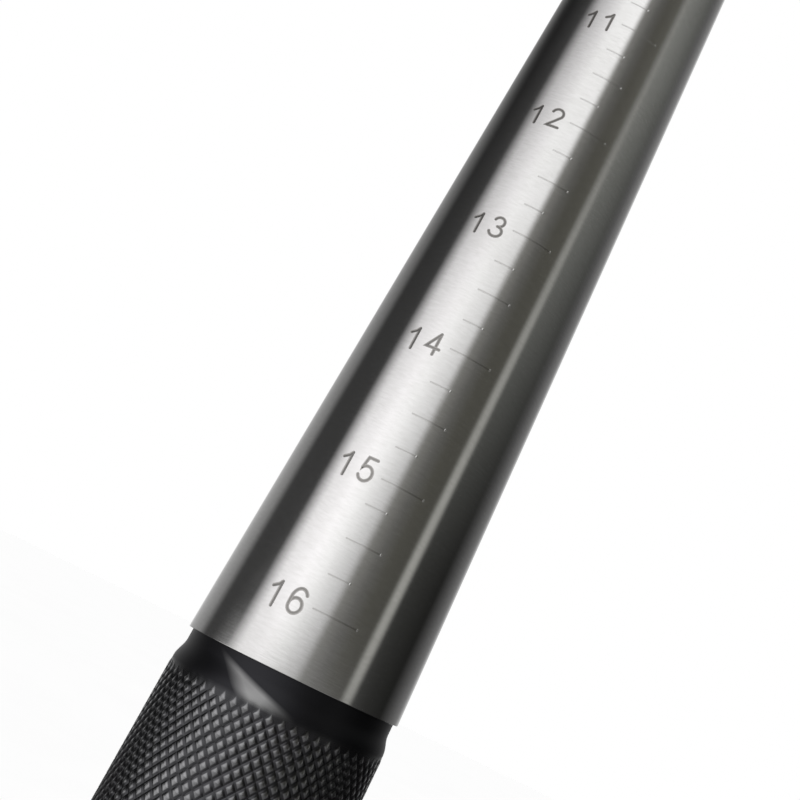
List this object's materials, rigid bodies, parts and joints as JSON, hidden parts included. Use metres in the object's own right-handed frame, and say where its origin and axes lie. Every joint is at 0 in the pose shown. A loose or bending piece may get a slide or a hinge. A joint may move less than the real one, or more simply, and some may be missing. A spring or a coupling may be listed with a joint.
{
  "type": "ring mandrel",
  "caption": "Round tapered steel mandrel with an engraved ring size scale, for sizing and shaping rings by hand, on a knurled black grip that it stands on.",
  "frame": {"origin": "centre of the flat butt face that the mandrel stands on", "axes": "+Z along the mandrel's axis from the butt to the tip, -Y towards the engraved scale, +X to the right of someone who faces the scale"},
  "size_m": [0.025, 0.025, 0.3546],
  "materials": {
    "ground_steel": "hardened and ground, satin bright",
    "black_finish": "black, semi-gloss, knurled",
    "cap_finish": "black, semi-gloss, turned smooth",
    "zinc_plate": "zinc plated",
    "dowel_steel": "hardened and ground"
  },
  "bodies": {
    "root": {"mandrel_taper": "ground_steel", "handle_grip": "black_finish", "drive_dowel": "dowel_steel", "plain_washer": "zinc_plate", "spring_washer": "zinc_plate", "tang_nut": "zinc_plate", "butt_cap": "cap_finish"}
  },
  "joints": []
}
